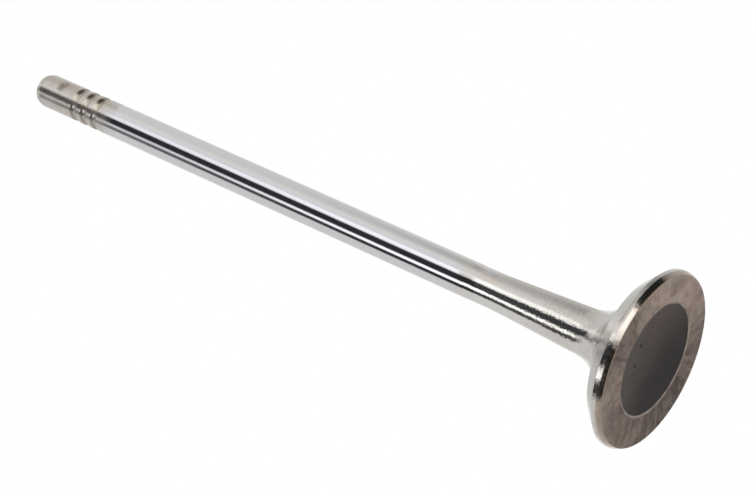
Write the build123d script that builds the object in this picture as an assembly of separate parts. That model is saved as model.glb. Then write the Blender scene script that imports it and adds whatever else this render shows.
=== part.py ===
from build123d import *
import os
from math import radians, tan

# Poppet valve of a heavy diesel engine, forged in one piece and turned on a single axis.
# Lengths are in millimetres and angles in degrees. The axis is Z: the combustion face
# lies on Z = 0 and the stem rises along +Z to the tip.

# --- driving dimensions ---------------------------------------------------------------
OVERALL_LENGTH = 196.0
HEAD_DIAMETER = 42.5
STEM_DIAMETER = 9.0

# combustion face: a flat turned ring round a shallow forged dish, which lies a little to
# one side of the turned axis
DISH_DIAMETER = 26.8
DISH_DEPTH = 1.6
DISH_EDGE_BREAK = 0.35
DISH_OFFSET = 0.55

# rim: polished bevel, cylindrical margin, conical seat
RIM_BEVEL_WIDTH = 0.65
RIM_BEVEL_HEIGHT = 1.2
MARGIN_HEIGHT = 1.05
SEAT_ANGLE = 45.0
SEAT_HEIGHT = 3.5
RIM_EDGE_RADIUS = 0.3
RIM_SHOULDER_RADIUS = 1.0
SEAT_EDGE_RADIUS = 0.8

# underhead cone, measured from the face plane, and the sweep up into the neck
UNDERHEAD_ANGLE = 28.3
UNDERHEAD_FILLET = 11.0

# neck: tapers to a waist, then steps up to the ground part of the stem at a crisp line
NECK_TAPER = 2.85
WAIST_DIAMETER = 8.86
WAIST_HEIGHT = 42.4
WAIST_LENGTH = 5.6
GROUND_STEM_HEIGHT = 50.0
NECK_BLEND = 40.0

# keeper grooves: half-round beads for multi-groove collets, counted down from the tip
GROOVE_COUNT = 3
FIRST_GROOVE_FROM_TIP = 14.85
GROOVE_PITCH = 3.85
GROOVE_DEPTH = 0.65
GROOVE_ARC_RADIUS = 1.25
GROOVE_EDGE_BREAK = 0.1

# tip: long shallow bevel with a rounded end corner
TIP_BEVEL_LENGTH = 1.6
TIP_BEVEL_DEPTH = 0.57
TIP_BEVEL_RADIUS = 2.0
TIP_CORNER_RADIUS = 0.4

# how near a corner of the section lies to the stem's surface to count as on it
SURFACE_TOLERANCE = 0.001

# --- derived values -------------------------------------------------------------------
stem_radius = STEM_DIAMETER / 2
head_radius = HEAD_DIAMETER / 2
dish_radius = DISH_DIAMETER / 2
waist_radius = WAIST_DIAMETER / 2
margin_top = RIM_BEVEL_HEIGHT + MARGIN_HEIGHT
seat_top = margin_top + SEAT_HEIGHT
seat_inner_radius = head_radius - SEAT_HEIGHT / tan(radians(SEAT_ANGLE))


def neck_root():
    """Radius and height where the underhead cone would meet the neck taper."""
    cone_run = 1 / tan(radians(UNDERHEAD_ANGLE))
    neck_run = tan(radians(NECK_TAPER))
    cone_radius = seat_inner_radius + seat_top * cone_run
    neck_radius = waist_radius + WAIST_HEIGHT * neck_run
    height = (cone_radius - neck_radius) / (cone_run - neck_run)
    return neck_radius - height * neck_run, height


def corners():
    """Corners of the half section, each with the radius that rounds it, or 0 where it is crisp."""
    root_radius, root_height = neck_root()
    return [
        ((head_radius - RIM_BEVEL_WIDTH, 0), RIM_EDGE_RADIUS),
        ((head_radius, RIM_BEVEL_HEIGHT), RIM_SHOULDER_RADIUS),
        ((head_radius, margin_top), 0),
        ((seat_inner_radius, seat_top), SEAT_EDGE_RADIUS),
        ((root_radius, root_height), UNDERHEAD_FILLET),
        ((waist_radius, WAIST_HEIGHT), NECK_BLEND),
        ((waist_radius, WAIST_HEIGHT + WAIST_LENGTH), 0),
        ((stem_radius, GROUND_STEM_HEIGHT), 0),
        ((stem_radius, OVERALL_LENGTH - TIP_BEVEL_LENGTH), TIP_BEVEL_RADIUS),
        ((stem_radius - TIP_BEVEL_DEPTH, OVERALL_LENGTH), TIP_CORNER_RADIUS),
    ]


def turned_section():
    """Half section of the turned body, with X as the radius and Y as the height."""
    points = [point for point, radius in corners()]
    radii = [radius for point, radius in corners()]
    outside = FilletPolyline((0, 0), *points, (0, OVERALL_LENGTH), radius=radii)
    axis = Line((0, OVERALL_LENGTH), (0, 0))
    return make_face([outside, axis])


def dish_arc_radius():
    """Radius of the sphere that the dish is part of."""
    rise = DISH_DEPTH - DISH_EDGE_BREAK / 2
    return (dish_radius**2 + rise**2) / (2 * rise)


def dish_section():
    """Half section of the dish's hollow, carried on below the face along its broken edge."""
    rim_height = DISH_EDGE_BREAK / 2
    bed = RadiusArc((0, DISH_DEPTH), (dish_radius, rim_height), dish_arc_radius())
    mouth = (dish_radius + 2 * DISH_EDGE_BREAK, -rim_height)
    outline = Polyline((dish_radius, rim_height), mouth, (0, -rim_height), (0, DISH_DEPTH))
    return make_face([bed, outline])


def groove_heights():
    """Heights of the keeper grooves, from the tip down."""
    first = OVERALL_LENGTH - FIRST_GROOVE_FROM_TIP
    return [first - index * GROOVE_PITCH for index in range(GROOVE_COUNT)]


def groove_discs():
    """Circles that bite the half-round grooves out of the half section."""
    disc_radius = stem_radius - GROOVE_DEPTH + GROOVE_ARC_RADIUS
    return [Pos(disc_radius, height) * Circle(GROOVE_ARC_RADIUS) for height in groove_heights()]


def is_groove_lip(corner):
    """True for the sharp corners between a groove and the stem's surface."""
    reach = [abs(corner.Y - height) for height in groove_heights()]
    return min(reach) < GROOVE_ARC_RADIUS and abs(corner.X - stem_radius) < SURFACE_TOLERANCE


def make_body():
    """The turned body with its keeper grooves, before the dish is sunk."""
    section = turned_section() - groove_discs()
    section = chamfer(section.vertices().filter_by(is_groove_lip), GROOVE_EDGE_BREAK)
    return revolve(Plane.XZ * section, Axis.Z)


def make_valve():
    """The whole valve as one solid."""
    hollow = revolve(Plane.XZ * dish_section(), Axis.Z)
    return make_body() - Pos(DISH_OFFSET, 0, 0) * hollow


valve = make_valve()
os.makedirs("parts", exist_ok=True)
export_step(valve, "parts/valve.step")
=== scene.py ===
import bpy
from collections import namedtuple
from math import acos, asin, atan2, cos, pi, radians, sin, sqrt, tan
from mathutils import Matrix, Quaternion, Vector


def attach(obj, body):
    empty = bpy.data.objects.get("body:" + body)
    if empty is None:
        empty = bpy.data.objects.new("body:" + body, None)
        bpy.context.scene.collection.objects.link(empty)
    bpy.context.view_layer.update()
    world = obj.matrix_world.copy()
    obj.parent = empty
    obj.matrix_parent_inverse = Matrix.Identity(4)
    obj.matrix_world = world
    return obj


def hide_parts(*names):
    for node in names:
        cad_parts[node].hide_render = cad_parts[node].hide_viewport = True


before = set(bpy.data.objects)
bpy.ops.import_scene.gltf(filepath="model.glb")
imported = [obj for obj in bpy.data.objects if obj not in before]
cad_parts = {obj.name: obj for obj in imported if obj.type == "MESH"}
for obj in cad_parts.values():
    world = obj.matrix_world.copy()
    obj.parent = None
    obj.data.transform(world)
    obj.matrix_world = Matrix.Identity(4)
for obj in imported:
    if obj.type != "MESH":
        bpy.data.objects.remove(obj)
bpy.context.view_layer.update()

# An engine valve standing on its head. Sizes are in millimetres until a mesh or a lamp is
# made, and Z is the height above the combustion face. Azimuths are in degrees from -Y,
# towards +X.
MM = 0.001
DEGREES = 180 / pi

# --- the valve's sizes, the same as its solid ------------------------------------------
LENGTH = 196.0
HEAD_RADIUS = 21.25
STEM_RADIUS = 4.5
DISH_RADIUS = 13.4
DISH_DEPTH = 1.6
DISH_EDGE_BREAK = 0.35
DISH_OFFSET = 0.55
RIM_BEVEL_WIDTH = 0.65
RIM_BEVEL_HEIGHT = 1.2
MARGIN_HEIGHT = 1.05
SEAT_ANGLE = 45.0
SEAT_HEIGHT = 3.5
RIM_EDGE_RADIUS = 0.3
RIM_SHOULDER_RADIUS = 1.0
SEAT_EDGE_RADIUS = 0.8
UNDERHEAD_ANGLE = 28.3
UNDERHEAD_FILLET = 11.0
NECK_TAPER = 2.85
WAIST_RADIUS = 4.43
WAIST_HEIGHT = 42.4
WAIST_LENGTH = 5.6
GROUND_STEM_HEIGHT = 50.0
NECK_BLEND = 40.0
GROOVE_COUNT = 3
FIRST_GROOVE_FROM_TIP = 14.85
GROOVE_PITCH = 3.85
GROOVE_DEPTH = 0.65
GROOVE_ARC_RADIUS = 1.25
GROOVE_EDGE_BREAK = 0.1
TIP_BEVEL_LENGTH = 1.6
TIP_BEVEL_DEPTH = 0.57
TIP_BEVEL_RADIUS = 2.0
TIP_CORNER_RADIUS = 0.4
# corners that the solid leaves crisp are rounded by this much, so that they catch the light
CRISP_EDGE = 0.06

margin_top = RIM_BEVEL_HEIGHT + MARGIN_HEIGHT
seat_top = margin_top + SEAT_HEIGHT
seat_inner_radius = HEAD_RADIUS - SEAT_HEIGHT / tan(radians(SEAT_ANGLE))
waist_end = WAIST_HEIGHT + WAIST_LENGTH
first_groove = LENGTH - FIRST_GROOVE_FROM_TIP
groove_heights = [first_groove - i * GROOVE_PITCH for i in reversed(range(GROOVE_COUNT))]

# --- the mesh --------------------------------------------------------------------------
AROUND = 224
DISH_RINGS = 28
GROOVE_STEPS = 14
CORNER_STEPS = 6
FILLET_STEPS = 24
# the longest step between two rings, on the head, the neck and the stem
HEAD_STEP = 0.5
NECK_STEP = 1.0
STEM_STEP = 3.0
ZONES = ("dish", "edge", "ring", "rim", "neck", "stem")
# how far above its own height a stretch still counts as the dish, or as the flat ring
DISH_SLACK = 0.01
RING_SLACK = 0.02
PLATING_START = 47.0


# --- the turned surface ----------------------------------------------------------------
def rounded_corner(before, corner, after, radius, steps=CORNER_STEPS):
    """Points of the arc that rounds one corner of the section."""
    ax, ay = before[0] - corner[0], before[1] - corner[1]
    bx, by = after[0] - corner[0], after[1] - corner[1]
    la, lb = sqrt(ax * ax + ay * ay), sqrt(bx * bx + by * by)
    ax, ay, bx, by = ax / la, ay / la, bx / lb, by / lb
    half = acos(max(-1.0, min(1.0, ax * bx + ay * by))) / 2
    mx, my = ax + bx, ay + by
    lm = sqrt(mx * mx + my * my)
    reach = radius / sin(half)
    cx, cy = corner[0] + mx / lm * reach, corner[1] + my / lm * reach
    run = radius / tan(half)
    start = atan2(corner[1] + ay * run - cy, corner[0] + ax * run - cx)
    end = atan2(corner[1] + by * run - cy, corner[0] + bx * run - cx)
    turn = (end - start + pi) % (2 * pi) - pi
    angles = [start + turn * i / steps for i in range(steps + 1)]
    return [(cx + radius * cos(a), cy + radius * sin(a)) for a in angles]


def neck_root():
    """Corner where the underhead cone would meet the neck's taper."""
    cone_run = 1 / tan(radians(UNDERHEAD_ANGLE))
    neck_run = tan(radians(NECK_TAPER))
    cone_radius = seat_inner_radius + seat_top * cone_run
    neck_radius = WAIST_RADIUS + WAIST_HEIGHT * neck_run
    height = (cone_radius - neck_radius) / (cone_run - neck_run)
    return neck_radius - height * neck_run, height


def dish_points():
    """The dish, from its middle out to its edge."""
    rise = DISH_DEPTH - DISH_EDGE_BREAK / 2
    sphere = (DISH_RADIUS**2 + rise**2) / (2 * rise)
    radii = [DISH_RADIUS * i / DISH_RINGS for i in range(DISH_RINGS)]
    return [(r, DISH_DEPTH - sphere + sqrt(sphere**2 - r * r)) for r in radii]


def groove_points(height):
    """One half-round keeper groove with broken lips, from its lower side up."""
    centre = STEM_RADIUS - GROOVE_DEPTH + GROOVE_ARC_RADIUS
    lip = asin(sqrt(GROOVE_ARC_RADIUS**2 - (centre - STEM_RADIUS) ** 2) / GROOVE_ARC_RADIUS)
    half_width = GROOVE_ARC_RADIUS * sin(lip) + GROOVE_EDGE_BREAK
    inner = lip - GROOVE_EDGE_BREAK / GROOVE_ARC_RADIUS
    angles = [-inner + 2 * inner * i / GROOVE_STEPS for i in range(GROOVE_STEPS + 1)]
    bed = [
        (centre - GROOVE_ARC_RADIUS * cos(a), height + GROOVE_ARC_RADIUS * sin(a))
        for a in angles
    ]
    return [(STEM_RADIUS, height - half_width), *bed, (STEM_RADIUS, height + half_width)]


def section():
    """The whole outline as points of radius and height, from the dish to the tip's middle."""
    dish = dish_points()
    corners = [
        ((DISH_RADIUS, DISH_EDGE_BREAK / 2), CRISP_EDGE),
        ((DISH_RADIUS + DISH_EDGE_BREAK, 0), CRISP_EDGE),
        ((HEAD_RADIUS - RIM_BEVEL_WIDTH, 0), RIM_EDGE_RADIUS),
        ((HEAD_RADIUS, RIM_BEVEL_HEIGHT), RIM_SHOULDER_RADIUS),
        ((HEAD_RADIUS, margin_top), CRISP_EDGE),
        ((seat_inner_radius, seat_top), SEAT_EDGE_RADIUS),
        (neck_root(), UNDERHEAD_FILLET),
        ((WAIST_RADIUS, WAIST_HEIGHT), NECK_BLEND),
        ((WAIST_RADIUS, waist_end), CRISP_EDGE),
        ((STEM_RADIUS, GROUND_STEM_HEIGHT), CRISP_EDGE),
    ]
    mid_stem = (STEM_RADIUS, LENGTH / 2)
    low_end = [dish[-1], *[corner for corner, radius in corners], mid_stem]
    points = list(dish)
    for i, (corner, radius) in enumerate(corners):
        steps = FILLET_STEPS if radius == UNDERHEAD_FILLET else CORNER_STEPS
        points += rounded_corner(low_end[i], corner, low_end[i + 2], radius, steps)
    for height in groove_heights:
        points += groove_points(height)
    bevel = (STEM_RADIUS, LENGTH - TIP_BEVEL_LENGTH)
    corner = (STEM_RADIUS - TIP_BEVEL_DEPTH, LENGTH)
    points += rounded_corner(mid_stem, bevel, corner, TIP_BEVEL_RADIUS)
    points += rounded_corner(bevel, corner, (0, LENGTH), TIP_CORNER_RADIUS)
    return points + [(0, LENGTH)]


def longest_step(height):
    """How far apart the rings may be: close together on the head, and wide on the stem."""
    if height < seat_top:
        return HEAD_STEP
    return NECK_STEP if height < GROUND_STEM_HEIGHT else STEM_STEP


def with_rings(points):
    """The outline with its long straight runs divided, and a ring close to each end of them."""
    filled = [points[0]]
    for (r0, z0), (r1, z1) in zip(points, points[1:]):
        length = sqrt((r1 - r0) ** 2 + (z1 - z0) ** 2)
        count = int(length / longest_step(max(z0, z1))) + 1
        shares = [i / count for i in range(1, count)]
        if length > 4 * CRISP_EDGE:
            near = CRISP_EDGE / length
            shares = sorted([near, *shares, 1 - near])
        filled += [(r0 + (r1 - r0) * s, z0 + (z1 - z0) * s) for s in [*shares, 1.0]]
    return filled


def zone_at(radius, height):
    """The finish of a stretch of the section, from where its middle lies."""
    if height < DISH_DEPTH + DISH_SLACK and radius < DISH_RADIUS - CRISP_EDGE:
        return "dish"
    if height < DISH_EDGE_BREAK and radius < DISH_RADIUS + DISH_EDGE_BREAK + CRISP_EDGE:
        return "edge"
    if height < RING_SLACK:
        return "ring"
    if height < margin_top and radius > STEM_RADIUS:
        return "rim"
    return "neck" if height < PLATING_START else "stem"


def slot_between(p, q):
    """The number of the finish between two points of the section."""
    return ZONES.index(zone_at((p[0] + q[0]) / 2, (p[1] + q[1]) / 2))


def sideways(radius, height):
    """How far a ring lies off the axis: the dish does, and the face's outer edge doesn't."""
    mouth = DISH_RADIUS + DISH_EDGE_BREAK
    face = HEAD_RADIUS - RIM_BEVEL_WIDTH - RIM_EDGE_RADIUS
    if height > DISH_DEPTH or radius > face:
        return 0.0
    return DISH_OFFSET * min(1.0, (face - radius) / (face - mouth))


def ring_points(radius, height):
    """One turn of the section's point, in metres."""
    shift = sideways(radius, height)
    angles = [2 * pi * k / AROUND for k in range(AROUND)]
    return [((radius * cos(a) + shift) * MM, radius * sin(a) * MM, height * MM) for a in angles]


def turned_faces(points):
    """The faces between the rings and to both ends of the axis, and each face's finish."""
    top = 1 + (len(points) - 2) * AROUND
    last = top - AROUND
    first_slot, last_slot = slot_between(*points[:2]), slot_between(*points[-2:])
    faces, slots = [], []
    for k in range(AROUND):
        n = (k + 1) % AROUND
        faces += [(0, 1 + n, 1 + k), (top, last + k, last + n)]
        slots += [first_slot, last_slot]
    for i in range(1, len(points) - 2):
        slot = slot_between(points[i], points[i + 1])
        high = 1 + i * AROUND
        low = high - AROUND
        for k in range(AROUND):
            n = (k + 1) % AROUND
            faces.append((low + k, low + n, high + n, high + k))
            slots.append(slot)
    return faces, slots


def lathe(name, points, materials):
    """A closed mesh turned from the section, with its finish chosen ring by ring."""
    verts = [(DISH_OFFSET * MM, 0, points[0][1] * MM)]
    for radius, height in points[1:-1]:
        verts += ring_points(radius, height)
    verts.append((0, 0, points[-1][1] * MM))
    faces, slots = turned_faces(points)
    mesh = bpy.data.meshes.new(name)
    mesh.from_pydata(verts, [], faces)
    for zone in ZONES:
        mesh.materials.append(materials[zone])
    mesh.polygons.foreach_set("material_index", slots)
    mesh.polygons.foreach_set("use_smooth", [True] * len(faces))
    mesh.update()
    piece = bpy.data.objects.new(name, mesh)
    bpy.context.scene.collection.objects.link(piece)
    return piece


# --- shader nodes ----------------------------------------------------------------------
class Graph:
    """Short names for the nodes of one shader tree."""

    def __init__(self, tree):
        self.nodes, self.links = tree.nodes, tree.links

    def put(self, socket, value):
        """Sets a socket to a number, a colour or a vector, or links it to another node."""
        if isinstance(value, (int, float)):
            socket.default_value = value
        elif isinstance(value, tuple):
            socket.default_value = (*value, 1) if len(socket.default_value) == 4 else value
        else:
            self.links.new(value, socket)

    def math(self, operation, *values):
        node = self.nodes.new("ShaderNodeMath")
        node.operation = operation
        for socket, value in zip(node.inputs, values):
            self.put(socket, value)
        return node.outputs[0]

    def both(self, one, other):
        """The product of two values, so 1 only where both are 1."""
        return self.math("MULTIPLY", one, other)

    def vector(self, *values):
        node = self.nodes.new("ShaderNodeCombineXYZ")
        for socket, value in zip(node.inputs, values):
            self.put(socket, value)
        return node.outputs[0]

    def ease(self, value, start, end, low=0.0, high=1.0):
        """Goes smoothly from low to high while the value goes from start to end."""
        node = self.nodes.new("ShaderNodeMapRange")
        node.interpolation_type = "SMOOTHSTEP"
        for name, put in (("Value", value), ("From Min", start), ("From Max", end)):
            self.put(node.inputs[name], put)
        self.put(node.inputs["To Min"], low)
        self.put(node.inputs["To Max"], high)
        return node.outputs["Result"]

    def band(self, value, start, end, soft):
        """1 between start and end and 0 outside, with soft edges."""
        rise = self.ease(value, start - soft, start + soft)
        return self.math("SUBTRACT", rise, self.ease(value, end - soft, end + soft))

    def mix(self, factor, under, over, blend="MIX"):
        """A colour laid over another, through the node's sockets for colours."""
        node = self.nodes.new("ShaderNodeMix")
        node.data_type = "RGBA"
        node.blend_type = blend
        self.put(node.inputs["Factor"], factor)
        self.put(node.inputs[6], under)
        self.put(node.inputs[7], over)
        return node.outputs[2]

    def noise(self, vector, scale, detail=3.0, roughness=0.55):
        """Noise from 0 to 1, mostly near a half."""
        node = self.nodes.new("ShaderNodeTexNoise")
        self.put(node.inputs["Vector"], vector)
        self.put(node.inputs["Scale"], scale)
        self.put(node.inputs["Detail"], detail)
        self.put(node.inputs["Roughness"], roughness)
        return node.outputs["Fac"]


# --- finishes --------------------------------------------------------------------------
# In the values of each finish, a colour is linear red, green and blue. HEIGHTS, AZIMUTHS and
# RADII are a stretch from, to and its softness, if it has any. A SIDE is an azimuth, the
# cosines of the angle to it where the side starts and where it is full, and its strength if
# it isn't 1.
class Finish(Graph):
    """One metal finish, that knows where it lies on the valve and is painted layer by layer."""

    def __init__(self, name):
        self.material = bpy.data.materials.new(name)
        self.material.use_nodes = True
        super().__init__(self.material.node_tree)
        self.shader = self.nodes["Principled BSDF"]
        self.put(self.shader.inputs["Metallic"], 1.0)
        where = self.nodes.new("ShaderNodeTexCoord")
        size = self.nodes.new("ShaderNodeVectorMath")
        size.operation = "SCALE"
        self.put(size.inputs["Scale"], 1 / MM)
        self.links.new(where.outputs["Object"], size.inputs[0])
        axes = self.nodes.new("ShaderNodeSeparateXYZ")
        self.place = size.outputs[0]
        self.links.new(self.place, axes.inputs[0])
        self.x, self.y, self.height = axes.outputs
        self.radius = self.distance(self.x, self.y)
        facing = self.math("ARCTAN2", self.x, self.math("MULTIPLY", self.y, -1.0))
        self.azimuth = self.math("MULTIPLY", facing, DEGREES)
        self.colour = None

    def distance(self, a, b):
        """How far away a point is, from its steps along two axes."""
        squares = self.math("MULTIPLY_ADD", a, a, self.math("MULTIPLY", b, b))
        return self.math("SQRT", squares)

    def grain(self, around, along, run):
        """Noise drawn out along or across the turning: how fine it is round it, and along a run."""
        far = self.math("MAXIMUM", self.radius, 0.01)
        place = self.vector(
            self.math("MULTIPLY", self.math("DIVIDE", self.x, far), around),
            self.math("MULTIPLY", self.math("DIVIDE", self.y, far), around),
            self.math("MULTIPLY", run, along),
        )
        return self.noise(place, 1.0)

    def spot(self, x, y, reach):
        """1 at a place on the face and 0 beyond its reach, which is shorter along X."""
        dx = self.math("MULTIPLY", self.math("SUBTRACT", self.x, x), SPECK_SQUASH)
        far = self.distance(dx, self.math("SUBTRACT", self.y, y))
        return self.ease(far, reach * SPECK_CORE, reach, 1.0, 0.0)

    def side(self, azimuth, start, end, most=1.0):
        """Grows to most towards an azimuth, as the cosine of the angle to it goes to end."""
        turn = self.math("SUBTRACT", self.azimuth, azimuth)
        facing = self.math("COSINE", self.math("MULTIPLY", turn, 1 / DEGREES))
        return self.ease(facing, start, end, 0.0, most)

    def patch(self, heights, azimuths):
        """1 on a patch, that is given each way as its start, end and softness."""
        return self.both(self.band(self.height, *heights), self.band(self.azimuth, *azimuths))

    def cover(self, share, colour):
        """Lays a colour over the layers so far."""
        self.colour = self.mix(share, self.colour, colour)

    def shade(self, share, colour):
        """Multiplies the layers so far by a colour."""
        self.colour = self.mix(share, self.colour, colour, "MULTIPLY")

    def relief(self, *layers):
        """Bumps the surface by layers of a height from 0 to 1 and a size in millimetres."""
        normal = None
        for height, size in layers:
            bump = self.nodes.new("ShaderNodeBump")
            self.put(bump.inputs["Strength"], 1.0)
            self.put(bump.inputs["Distance"], size * MM)
            self.put(bump.inputs["Height"], height)
            if normal is not None:
                self.put(bump.inputs["Normal"], normal)
            normal = bump.outputs["Normal"]
        self.put(self.shader.inputs["Normal"], normal)

    def done(self, roughness):
        """Hands the layers and the roughness to the shader."""
        self.put(self.shader.inputs["Base Color"], self.colour)
        self.put(self.shader.inputs["Roughness"], roughness)
        return self.material


# the dish, with its specks as x, y and reach
SCALE_GREY = (0.150, 0.143, 0.152)
SCALE_BROWN = (0.180, 0.165, 0.170)
# the colour the dish goes towards on one side, darker and bluer
DISH_DARKER_BLUE_SIDE = (0.076, 0.078, 0.092)
SCALE_DARK = (0.085, 0.081, 0.090)
SPECK_BLUE = (0.036, 0.040, 0.075)
SPECK_SQUASH = 1.6
SPECK_CORE = 0.3
DISH_SPECKS = ((2.0, -7.7, 1.15), (-2.5, -6.15, 1.1), (-4.4, -3.8, 0.5))


def dish_finish():
    """Dark forge scale, brown in the middle, with specks; the dish goes darker and bluer towards
    one side.
    """
    f = Finish("forge_scale")
    patches = f.noise(f.place, 0.16, 4.0)
    mottle = f.noise(f.place, 0.9, 4.0)
    across = f.math("MULTIPLY_ADD", f.x, -0.35, f.y)
    f.colour = f.mix(f.ease(patches, 0.4, 0.62), SCALE_GREY, SCALE_BROWN)
    # darker and bluer towards one side of the dish
    f.cover(f.ease(across, -8.0, 9.0), DISH_DARKER_BLUE_SIDE)
    f.cover(f.ease(mottle, 0.35, 0.7, 0.0, 0.35), SCALE_DARK)
    for x, y, reach in DISH_SPECKS:
        f.cover(f.spot(x, y, reach), SPECK_BLUE)
    f.relief((mottle, 0.08), (f.noise(f.place, 4.0, 2.0), 0.010))
    return f.done(f.ease(patches, 0.3, 0.7, 0.42, 0.55))


# the line round the dish
EDGE_DULL = (0.36, 0.33, 0.31)
EDGE_BRIGHT = (0.56, 0.54, 0.53)


def edge_finish():
    """The bright line round the dish, where its edge is rubbed clean in most places."""
    f = Finish("rubbed_edge")
    rub = f.grain(5.0, 0.5, f.height)
    f.colour = f.mix(f.ease(rub, 0.35, 0.6), EDGE_DULL, EDGE_BRIGHT)
    return f.done(0.38)


# the ring
RING_TAUPE = (0.354, 0.316, 0.306)
# painted light and painted shade that the ring gets by side: two lighter colours, then two darker
# ones
RING_PAINTED_LIGHT = (0.690, 0.624, 0.606)
RING_PAINTED_WARM_LIGHT = (0.500, 0.450, 0.430)
RING_PAINTED_SHADE = (0.178, 0.157, 0.160)
RING_PAINTED_HALF_SHADE = (0.255, 0.226, 0.224)
RING_PATCH = (0.74, 0.71, 0.73)
RING_CLOUD = (0.78, 0.72, 0.68)
RING_COOL_BAND = (0.80, 0.785, 0.82)
RING_TAN_BAND = (0.66, 0.60, 0.55)
# streaks across the turning: painted reflections of the turning marks
RING_PAINTED_BRIGHT_STREAK = (0.52, 0.47, 0.45)
RING_PAINTED_DARK_STREAK = (0.135, 0.112, 0.106)
RING_PAINTED_FINE_STREAK = (0.56, 0.51, 0.49)
RING_SCUFF = (0.58, 0.52, 0.48)
RING_RUBBED = (0.62, 0.56, 0.52)
# the sides of the ring's painted light and painted shade
RING_LIT_SIDE = (78.0, 0.2, 1.0)
RING_WARM_LIT_SIDE = (-38.0, 0.88, 1.0)
RING_SHADED_SIDE = (-162.0, 0.50, 1.0)
RING_HALF_SHADED_SIDE = (-70.0, 0.94, 0.995, 0.6)
SCUFFED_AZIMUTHS = (4.0, 66.0, 12.0)
LEFT_RUBBED_AZIMUTHS = (-100.0, -38.0, 20.0)
RIGHT_RUBBED_AZIMUTHS = (48.0, 98.0, 15.0)
RUBBED_RADII = (17.8, 20.4)


def ring_finish():
    """Heat-tinted turned ring: taupe, with painted light on two sides and painted shade on two
    others, and streaks across the turning painted as reflections.
    """
    f = Finish("heat_tinted_ring_and_painted_light")
    streaks = f.grain(17.0, 0.20, f.radius)
    bands = f.grain(4.5, 0.14, f.radius)
    fine = f.grain(60.0, 0.5, f.radius)
    turning = f.grain(1.5, 5.0, f.radius)
    patches = f.noise(f.place, 0.20, 3.0, 0.6)
    cloud = f.noise(f.place, 0.50, 4.0, 0.65)
    # painted light and painted shade by side, over the taupe heat tint
    f.colour = f.mix(f.side(*RING_LIT_SIDE), RING_TAUPE, RING_PAINTED_LIGHT)
    f.cover(f.side(*RING_WARM_LIT_SIDE), RING_PAINTED_WARM_LIGHT)
    f.cover(f.side(*RING_SHADED_SIDE), RING_PAINTED_SHADE)
    f.cover(f.side(*RING_HALF_SHADED_SIDE), RING_PAINTED_HALF_SHADE)
    f.shade(f.ease(patches, 0.38, 0.60, 0.85, 0.0), RING_PATCH)
    f.shade(f.ease(cloud, 0.44, 0.62, 0.0, 0.7), RING_CLOUD)
    f.shade(f.ease(bands, 0.52, 0.38), RING_COOL_BAND)
    f.cover(f.ease(bands, 0.52, 0.66, 0.0, 0.22), RING_TAN_BAND)
    drawn = f.ease(patches, 0.35, 0.65, 0.62, 0.28)
    # painted reflections: light and dark streaks across the turning, then fine ones
    f.cover(f.both(f.ease(streaks, 0.48, 0.75), drawn), RING_PAINTED_BRIGHT_STREAK)
    f.cover(f.both(f.ease(streaks, 0.50, 0.28), drawn), RING_PAINTED_DARK_STREAK)
    f.cover(f.ease(fine, 0.5, 0.75, 0.0, 0.32), RING_PAINTED_FINE_STREAK)
    slanted = f.vector(f.math("ADD", f.x, f.y), f.math("MULTIPLY", f.x, 0.12), 0.0)
    scuffs = f.ease(f.noise(slanted, 1.1), 0.48, 0.66, 0.0, 0.45)
    f.cover(f.both(scuffs, f.band(f.azimuth, *SCUFFED_AZIMUTHS)), RING_SCUFF)
    left = f.band(f.azimuth, *LEFT_RUBBED_AZIMUTHS)
    right = f.band(f.azimuth, *RIGHT_RUBBED_AZIMUTHS)
    outer = f.ease(f.radius, *RUBBED_RADII, 0.0, 0.6)
    rubbed = f.both(outer, f.math("ADD", left, right))
    f.cover(f.both(rubbed, f.ease(cloud, 0.35, 0.6)), RING_RUBBED)
    f.relief((turning, 0.010), (fine, 0.006))
    return f.done(f.ease(cloud, 0.3, 0.7, 0.38, 0.48))


# the rim
RIM_TAN = (0.60, 0.535, 0.485)
RIM_CLEAN = (0.82, 0.795, 0.765)
RIM_STAIN = (0.50, 0.43, 0.38)
# a painted highlight on the bevel's front, and painted shade on the margin's front
RIM_PAINTED_HIGHLIGHT = (0.875, 0.81, 0.745)
RIM_PAINTED_SHADE = (0.66, 0.64, 0.61)
RIM_TAN_END = 2.2
RIM_FRONT_AZIMUTHS = (7.0, 30.0, 6.0)
HIGHLIGHT_BEVEL_HEIGHTS = (0.2, 1.2, 0.3)
SHADED_MARGIN_HEIGHTS = (1.55, 2.15, 0.25)


def rim_finish():
    """Polished bevel and margin: tanned by heat towards the face, with small nicks, a painted
    highlight on the bevel's front and painted shade on the margin's front.
    """
    f = Finish("polished_rim")
    nicks = f.noise(f.place, 1.1, 3.0)
    wavy = f.ease(f.noise(f.place, 0.35), 0.3, 0.7, -0.4, 0.4)
    clean = f.ease(f.height, 0.0, f.math("ADD", wavy, RIM_TAN_END))
    f.colour = f.mix(clean, RIM_TAN, RIM_CLEAN)
    f.cover(f.ease(f.grain(14.0, 0.6, f.height), 0.45, 0.72, 0.0, 0.45), RIM_STAIN)
    # painted highlight on the front of the bevel, then painted shade on the front of the margin
    f.cover(f.patch(HIGHLIGHT_BEVEL_HEIGHTS, RIM_FRONT_AZIMUTHS), RIM_PAINTED_HIGHLIGHT)
    f.shade(f.patch(SHADED_MARGIN_HEIGHTS, RIM_FRONT_AZIMUTHS), RIM_PAINTED_SHADE)
    f.relief((nicks, 0.030), (f.grain(60.0, 0.4, f.height), 0.004))
    return f.done(f.ease(nicks, 0.3, 0.7, 0.10, 0.18))


# the neck
UNDERHEAD_SATIN = (0.790, 0.775, 0.755)
NECK_GREY = (0.895, 0.875, 0.845)
NECK_PALE = (0.935, 0.918, 0.895)
NECK_TAN_FOOT = (0.70, 0.655, 0.61)
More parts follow.
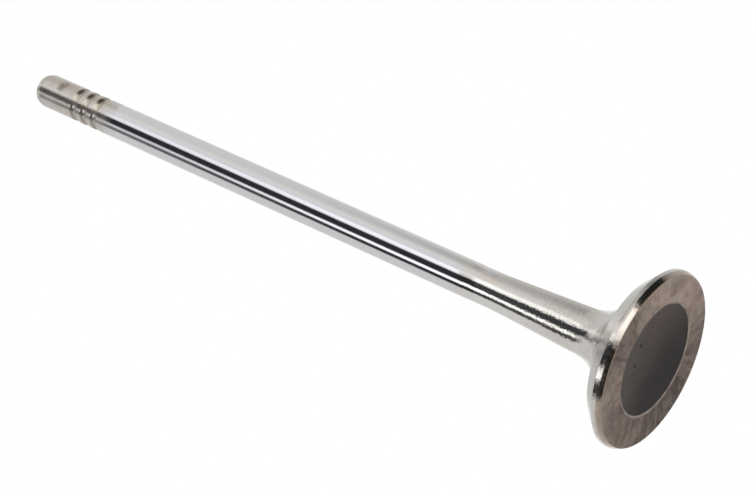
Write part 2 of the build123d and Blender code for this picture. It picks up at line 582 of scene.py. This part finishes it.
# painted shade on three sides of the seat, underhead and neck
NECK_PAINTED_SHADE = (0.795, 0.775, 0.755)
NECK_LOWER_PAINTED_SHADE = (0.90, 0.89, 0.87)
NECK_EDGE_PAINTED_SHADE = (0.87, 0.86, 0.85)
NECK_STRAW = (0.90, 0.845, 0.785)
NECK_MOTTLE = (0.80, 0.775, 0.75)
NECK_STAIN = (0.58, 0.53, 0.48)
NECK_METALLIC = 0.975
# the sides that carry the neck's painted shade
NECK_SHADED_SIDE = (70.0, 0.42, 0.80)
NECK_LOWER_SHADED_SIDE = (-95.0, 0.39, 0.63, 0.6)
NECK_EDGE_SHADED_SIDE = (110.0, 0.60, 0.84)
SMOOTHER_HEIGHTS = (7.0, 17.0)
FAINTER_GRAIN_HEIGHTS = (20.0, 45.0)
FAINT_GRAIN = 0.40
TAN_FOOT_HEIGHTS = (2.0, 4.2)
NECK_SHADE_HEIGHTS = (15.0, 43.0, 2.5)
STRAW_HEIGHTS = (42.0, 49.0, 2.0)
STRAW_AZIMUTHS = (16.0, 35.0, 6.0)


def neck_finish():
    """Satin seat, underhead and neck, with a grain that breaks up what they reflect, and painted
    shade on their sides.
    """
    f = Finish("satin_neck")
    f.put(f.shader.inputs["Metallic"], NECK_METALLIC)
    smooth = f.ease(f.height, *SMOOTHER_HEIGHTS)
    growth = f.ease(f.height, *FAINTER_GRAIN_HEIGHTS, 1.0, FAINT_GRAIN)
    grain = f.both(f.noise(f.place, 2.2, 1.0, 0.5), growth)
    cloud = f.noise(f.place, 0.12, 3.0)
    neck = f.mix(f.ease(cloud, 0.35, 0.65), NECK_GREY, NECK_PALE)
    f.colour = f.mix(smooth, UNDERHEAD_SATIN, neck)
    f.cover(f.ease(f.height, *TAN_FOOT_HEIGHTS, 0.8, 0.0), NECK_TAN_FOOT)
    # painted shade on three sides of the neck
    f.shade(f.both(f.side(*NECK_SHADED_SIDE), f.band(f.height, *NECK_SHADE_HEIGHTS)), NECK_PAINTED_SHADE)
    f.shade(f.side(*NECK_LOWER_SHADED_SIDE), NECK_LOWER_PAINTED_SHADE)
    f.shade(f.side(*NECK_EDGE_SHADED_SIDE), NECK_EDGE_PAINTED_SHADE)
    f.shade(f.patch(STRAW_HEIGHTS, STRAW_AZIMUTHS), NECK_STRAW)
    f.shade(f.ease(grain, 0.28, 0.60, 0.0, 0.55), NECK_MOTTLE)
    f.cover(f.ease(f.noise(f.place, 0.55, 4.0), 0.55, 0.75, 0.0, 0.22), NECK_STAIN)
    f.relief((grain, 0.037), (f.grain(1.2, 2.6, f.height), 0.008))
    return f.done(f.math("ADD", f.math("MULTIPLY", smooth, -0.10), 0.17))


# the stem
PLATING_GREY = (0.850, 0.848, 0.838)
# bluish plating on one side: a painted bluish reflection
PLATING_PAINTED_BLUE_REFLECTION = (0.827, 0.836, 0.884)
BARE_BROWN = (0.655, 0.605, 0.560)
BARE_GREY = (0.715, 0.680, 0.645)
BARE_BROWN_SIDE = (0.93, 0.88, 0.82)
# heat tint at the stem's foot, laid on more strongly to one side as painted shade
FOOT_TINT_AND_SHADE = (0.835, 0.765, 0.695)
# painted shade that dims the highlight at the step
STEP_PAINTED_SHADE = (0.68, 0.67, 0.68)
# painted light at the step, over a dark reflection
STEP_PAINTED_LIGHT = (0.98, 0.93, 0.88)
SMUDGE = (0.52, 0.49, 0.43)
PLATING_END_BROWN = (0.50, 0.40, 0.30)
STEM_MARKS = (0.55, 0.53, 0.51)
KEEPER_TAN = (1.0, 0.965, 0.925)
# painted shade, bluish grey, in the keeper grooves on one side
KEEPER_PAINTED_SHADE = (0.80, 0.86, 0.92)
BARE_METALLIC = 0.94
BLUE_REFLECTION_SIDE = (-10.0, 0.80, 0.93)
KEEPER_SHADED_SIDE = (-62.0, 0.50, 0.85)
BARE_HEIGHTS = (165.5, 171.5)
BARE_WAVE = 2.2
ROUGHER_HEIGHTS = (167.0, 172.0)
BROWN_SIDE_AZIMUTHS = (28.0, 56.0, 9.0)
FOOT_HEIGHTS = (47.5, 52.0, 3.0)
FOOT_AZIMUTHS = (14.0, 70.0, 10.0)
DIMMED_STEP_HEIGHTS = (48.0, 52.0, 0.7)
DIMMED_STEP_AZIMUTHS = (-6.0, 10.0, 5.0)
LIT_STEP_HEIGHTS = (47.9, 50.2, 0.4)
LIT_STEP_AZIMUTHS = (36.0, 62.0, 8.0)
SMUDGE_HEIGHTS = (186.8, 189.1, 0.8)
SMUDGE_AZIMUTHS = (15.0, 56.0, 8.0)
PLATING_END_HEIGHTS = (167.0, 169.5, 1.2)
PLATING_END_AZIMUTHS = (33.0, 50.0, 9.0)
KEEPER_HEIGHTS = (171.5, 183.5, 1.0)
WORN_HEIGHTS = (167.0, 171.0, 1.0)
# how deep in the stem a groove's finish starts, and where it is full
GROOVE_RADII = (STEM_RADIUS - 0.04, STEM_RADIUS - 0.14)


def stem_finish():
    """Ground and plated stem: bluish to one side as a painted reflection, heat-tinted at its foot
    with painted shade to one side there, painted shade and painted light at the step, and bare and
    stained towards the tip.
    """
    f = Finish("plated_stem")
    cloud = f.noise(f.place, 0.25, 4.0)
    # plating painted bluish on one side, as a reflection
    f.colour = f.mix(f.side(*BLUE_REFLECTION_SIDE), PLATING_GREY, PLATING_PAINTED_BLUE_REFLECTION)
    wavy_height = f.math("ADD", f.height, f.ease(cloud, 0.3, 0.7, -BARE_WAVE, BARE_WAVE))
    bare = f.ease(wavy_height, *BARE_HEIGHTS)
    tarnish = f.mix(f.ease(cloud, 0.4, 0.6), BARE_BROWN, BARE_GREY)
    brown_side = f.band(f.azimuth, *BROWN_SIDE_AZIMUTHS)
    f.cover(bare, f.mix(brown_side, tarnish, BARE_BROWN_SIDE, "MULTIPLY"))
    f.put(f.shader.inputs["Metallic"], f.ease(bare, 0.0, 1.0, 1.0, BARE_METALLIC))
    # heat tint at the foot, stronger on one side as painted shade
    tinted_and_shaded_side = f.math("MULTIPLY_ADD", f.band(f.azimuth, *FOOT_AZIMUTHS), 0.3, 0.5)
    f.cover(f.both(f.band(f.height, *FOOT_HEIGHTS), tinted_and_shaded_side), FOOT_TINT_AND_SHADE)
    # painted shade over the highlight at the step
    f.shade(f.patch(DIMMED_STEP_HEIGHTS, DIMMED_STEP_AZIMUTHS), STEP_PAINTED_SHADE)
    # painted light at the step
    f.cover(f.patch(LIT_STEP_HEIGHTS, LIT_STEP_AZIMUTHS), STEP_PAINTED_LIGHT)
    blotch = f.ease(f.noise(f.place, 0.9, 3.0), 0.30, 0.52)
    f.shade(f.both(f.patch(SMUDGE_HEIGHTS, SMUDGE_AZIMUTHS), blotch), SMUDGE)
    plating_end = f.band(wavy_height, *PLATING_END_HEIGHTS)
    brown = f.both(plating_end, f.band(f.azimuth, *PLATING_END_AZIMUTHS))
    f.cover(f.math("MULTIPLY", brown, 0.5), PLATING_END_BROWN)
    f.cover(f.ease(f.noise(f.place, 0.8, 4.0), 0.58, 0.72, 0.0, 0.10), STEM_MARKS)
    in_groove = f.ease(f.radius, *GROOVE_RADII)
    keeper = f.both(f.band(f.height, *KEEPER_HEIGHTS), in_groove)
    f.shade(keeper, KEEPER_TAN)
    # painted shade in the keeper grooves on one side
    f.shade(f.both(keeper, f.side(*KEEPER_SHADED_SIDE)), KEEPER_PAINTED_SHADE)
    f.relief((f.noise(f.place, 0.7, 2.0), 0.006), (f.grain(1.0, 3.0, f.height), 0.0012))
    worn = f.math("ADD", f.band(f.height, *WORN_HEIGHTS), keeper)
    bare_rough = f.ease(f.height, *ROUGHER_HEIGHTS, 0.0, 0.13)
    rough = f.math("ADD", f.ease(cloud, 0.3, 0.7, 0.07, 0.11), bare_rough)
    return f.done(f.math("ADD", rough, f.math("MULTIPLY", worn, 0.05)))


materials = {
    "dish": dish_finish(),
    "edge": edge_finish(),
    "ring": ring_finish(),
    "rim": rim_finish(),
    "neck": neck_finish(),
    "stem": stem_finish(),
}
valve = lathe("valve_turned", with_rings(section()), materials)
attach(valve, "root")
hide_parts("valve")


# --- the studio ------------------------------------------------------------------------
WHITE = (1.0, 1.0, 1.0)
DIFFUSE_WHITE = (0.76, 0.76, 0.76)
# the plain surroundings above and below the horizon, and the elevations between them
PALE = (0.65, 0.65, 0.65)
LOW_PALE = (0.47, 0.42, 0.37)
HORIZON_START = -16.0
HORIZON_END = 22.0
# the white wall at the back: how far round and how high it starts, and where it is full
BACKDROP = (0.93, 0.93, 0.92)
BACKDROP_AZIMUTHS = (136.0, 170.0)
BACKDROP_ELEVATIONS = (0.0, 16.0)
# the ceiling, which slopes down towards the middle: it starts where the direction's Z is
# above its slope times X by the first height, and is full at the second
CEILING = (0.625, 0.625, 0.615)
CEILING_SLOPE = 0.9
CEILING_HEIGHTS = (0.40, 0.52)
CEILING_ELEVATIONS = (42.0, 50.0)

# A panel is a lit box or a dark flag that polished metal sees: its azimuths from and to with
# their softness, and its elevations from and to with the softness of its upper edge. A later
# panel hides an earlier one.
Panel = namedtuple("Panel", "azimuths side_soft elevations top_soft colour")
PANEL_FOOT_SOFT = 4.0
PANELS = (
    # grey box on the right, along the stem's upper side, and the card beyond it
    Panel((26, 60), 12, (-20, 58), 14, (0.74, 0.74, 0.735)),
    Panel((68, 112), 22, (-10, 29.5), 8.5, (0.22, 0.22, 0.22)),
    # below the horizon, in the rim's bevel: a flag on the left and a box on the right
    Panel((-77, -4), 4, (-60, -14), 4, (0.022, 0.021, 0.018)),
    Panel((3, 49), 3, (-60, -18), 4, (1.25, 1.22, 1.17)),
    # the flags that make the stem's thin dark line and its broad dark band
    Panel((-73, -40), 5, (-24, 48), 17, (0.022, 0.022, 0.024)),
    Panel((-50, 2), 6, (-26, 74), 14, (0.026, 0.027, 0.031)),
    # the narrow strip light between them, with its dim upper end
    Panel((-51.5, -35.5), 4, (42, 64), 6, (0.64, 0.64, 0.64)),
    Panel((-51.5, -35.5), 4, (-22, 38), 12, (1.45, 1.45, 1.44)),
    # the bright box beside the broad flag
    Panel((2, 24), 7, (-22, 43), 17, (1.13, 1.13, 1.12)),
    # the low flag on the right, in the rim's upper stretch
    Panel((52, 105), 5, (-45, 12), 8, (0.020, 0.022, 0.020)),
)
# how far the panels lie to one side near the horizon, at 0 azimuth and well left of it
LOW_TURN = (2.0, 6.5)
LOW_TURN_AZIMUTHS = (0.0, -45.0)
LOW_TURN_ELEVATIONS = (20.0, 32.0)

# A panel overhead is a strip of directions: X from and to, after a slant along Y.
Overhead = namedtuple("Overhead", "start end slant colour")
OVERHEAD_SOFT = 0.05
OVERHEAD_HEIGHTS = (0.72, 0.86)
OVERHEAD_DEPTHS = (0.80, 0.30)
OVERHEADS = (
    Overhead(-0.22, -0.10, 0.24, (0.20, 0.20, 0.20)),
    Overhead(0.01, 0.13, 0.0, (0.90, 0.90, 0.89)),
)


def panel_azimuth(g, x, y, elevation):
    """The azimuth of a direction, shifted near the horizon as the panels are."""
    facing = g.math("ARCTAN2", x, g.math("MULTIPLY", y, -1.0))
    azimuth = g.math("MULTIPLY", facing, DEGREES)
    low = g.ease(elevation, *LOW_TURN_ELEVATIONS, 1.0, 0.0)
    turn = g.both(low, g.ease(azimuth, *LOW_TURN_AZIMUTHS, *LOW_TURN))
    return g.math("SUBTRACT", azimuth, turn)


def surroundings(g, x, z, azimuth, elevation):
    """The plain surroundings, the backdrop and the ceiling."""
    colour = g.mix(g.ease(elevation, HORIZON_START, HORIZON_END), LOW_PALE, PALE)
    behind = g.ease(g.math("ABSOLUTE", azimuth), *BACKDROP_AZIMUTHS)
    colour = g.mix(g.both(behind, g.ease(elevation, *BACKDROP_ELEVATIONS)), colour, BACKDROP)
    above_slope = g.math("MULTIPLY_ADD", g.math("ABSOLUTE", x), -CEILING_SLOPE, z)
    sloping = g.ease(above_slope, *CEILING_HEIGHTS)
    level = g.ease(elevation, *CEILING_ELEVATIONS)
    return g.mix(g.math("MAXIMUM", sloping, level), colour, CEILING)


def with_overheads(g, colour, x, y, z):
    """The surroundings with the panels that reach over the top."""
    over = g.both(g.ease(z, *OVERHEAD_HEIGHTS), g.ease(y, *OVERHEAD_DEPTHS))
    for panel in OVERHEADS:
        across = g.math("MULTIPLY_ADD", y, -panel.slant, x)
        strip = g.band(across, panel.start, panel.end, OVERHEAD_SOFT)
        colour = g.mix(g.both(over, strip), colour, panel.colour)
    return colour


def with_panels(g, colour, azimuth, elevation):
    """The surroundings with the panels that stand round the valve."""
    for panel in PANELS:
        foot, head = panel.elevations
        across = g.band(azimuth, *panel.azimuths, panel.side_soft)
        above = g.ease(elevation, foot - PANEL_FOOT_SOFT, foot + PANEL_FOOT_SOFT)
        below = g.ease(elevation, head - panel.top_soft, head + panel.top_soft, 1.0, 0.0)
        colour = g.mix(g.both(across, g.both(above, below)), colour, panel.colour)
    return colour


def studio_world():
    """White to the camera, plain white to matt surfaces, and boxes and flags to polished ones."""
    world = bpy.data.worlds.new("studio")
    bpy.context.scene.world = world
    world.use_nodes = True
    g = Graph(world.node_tree)
    where = g.nodes.new("ShaderNodeTexCoord")
    axes = g.nodes.new("ShaderNodeSeparateXYZ")
    g.put(axes.inputs[0], where.outputs["Generated"])
    x, y, z = axes.outputs
    elevation = g.math("MULTIPLY", g.math("ARCSINE", z), DEGREES)
    azimuth = panel_azimuth(g, x, y, elevation)
    colour = surroundings(g, x, z, azimuth, elevation)
    colour = with_overheads(g, colour, x, y, z)
    colour = with_panels(g, colour, azimuth, elevation)
    path = g.nodes.new("ShaderNodeLightPath")
    colour = g.mix(path.outputs["Is Diffuse Ray"], colour, DIFFUSE_WHITE)
    colour = g.mix(path.outputs["Is Camera Ray"], colour, WHITE)
    background = g.nodes["Background"]
    g.put(background.inputs["Color"], colour)
    g.put(background.inputs["Strength"], 1.0)


# in metres
FLOOR_RADIUS = 3.0
FLOOR_SIDES = 64


def studio_floor():
    """A white floor that is seen only from above, so that the head's face can be seen too."""
    bpy.ops.mesh.primitive_circle_add(vertices=FLOOR_SIDES, radius=FLOOR_RADIUS, fill_type="NGON")
    floor = bpy.context.object
    floor.name = "studio_floor"
    material = bpy.data.materials.new("studio_floor")
    material.use_nodes = True
    g = Graph(material.node_tree)
    g.nodes.clear()
    matt = g.nodes.new("ShaderNodeBsdfDiffuse")
    g.put(matt.inputs["Color"], WHITE)
    clear = g.nodes.new("ShaderNodeBsdfTransparent")
    side = g.nodes.new("ShaderNodeNewGeometry")
    choose = g.nodes.new("ShaderNodeMixShader")
    output = g.nodes.new("ShaderNodeOutputMaterial")
    g.put(choose.inputs[0], side.outputs["Backfacing"])
    g.put(choose.inputs[1], matt.outputs[0])
    g.put(choose.inputs[2], clear.outputs[0])
    g.put(output.inputs["Surface"], choose.outputs[0])
    floor.data.materials.append(material)
    floor.visible_diffuse = False
    floor.visible_glossy = False
    floor.visible_transmission = False
    floor.visible_shadow = False


LAMP_STRENGTH = 1.0
LAMP_SPREAD = 25
LAMP_TILT = 35
LAMP_TURN = -25


def studio_lamp():
    """A large soft lamp that gives the floor a shadow."""
    data = bpy.data.lights.new("key_lamp", "SUN")
    data.energy = LAMP_STRENGTH
    data.angle = radians(LAMP_SPREAD)
    lamp = bpy.data.objects.new("key_lamp", data)
    lamp.rotation_euler = (radians(LAMP_TILT), radians(LAMP_TURN), 0)
    lamp.visible_glossy = False
    bpy.context.scene.collection.objects.link(lamp)


# --- the camera ------------------------------------------------------------------------
CAMERA_PLACE = (0.0, -406.37, -179.55)
CAMERA_AIM = (-2.09, 0.0, 77.91)
CAMERA_ROLL = 65.63
FOCAL_LENGTH = 95.24
SENSOR_WIDTH = 36.0
# in metres
NEAREST_SEEN = 0.01
FARTHEST_SEEN = 50.0


def studio_camera():
    """Looks up at the head's face from below, rolled so that the stem runs to the left."""
    data = bpy.data.cameras.new("camera")
    data.lens = FOCAL_LENGTH
    data.sensor_width = SENSOR_WIDTH
    data.clip_start = NEAREST_SEEN
    data.clip_end = FARTHEST_SEEN
    camera = bpy.data.objects.new("camera", data)
    place, aim = Vector(CAMERA_PLACE) * MM, Vector(CAMERA_AIM) * MM
    upright = (aim - place).to_track_quat("-Z", "Y")
    camera.rotation_mode = "QUATERNION"
    camera.rotation_quaternion = upright @ Quaternion((0, 0, 1), radians(-CAMERA_ROLL))
    camera.location = place
    bpy.context.scene.collection.objects.link(camera)
    bpy.context.scene.camera = camera


studio_world()
studio_floor()
studio_lamp()
studio_camera()
bpy.context.scene.view_settings.view_transform = "Standard"
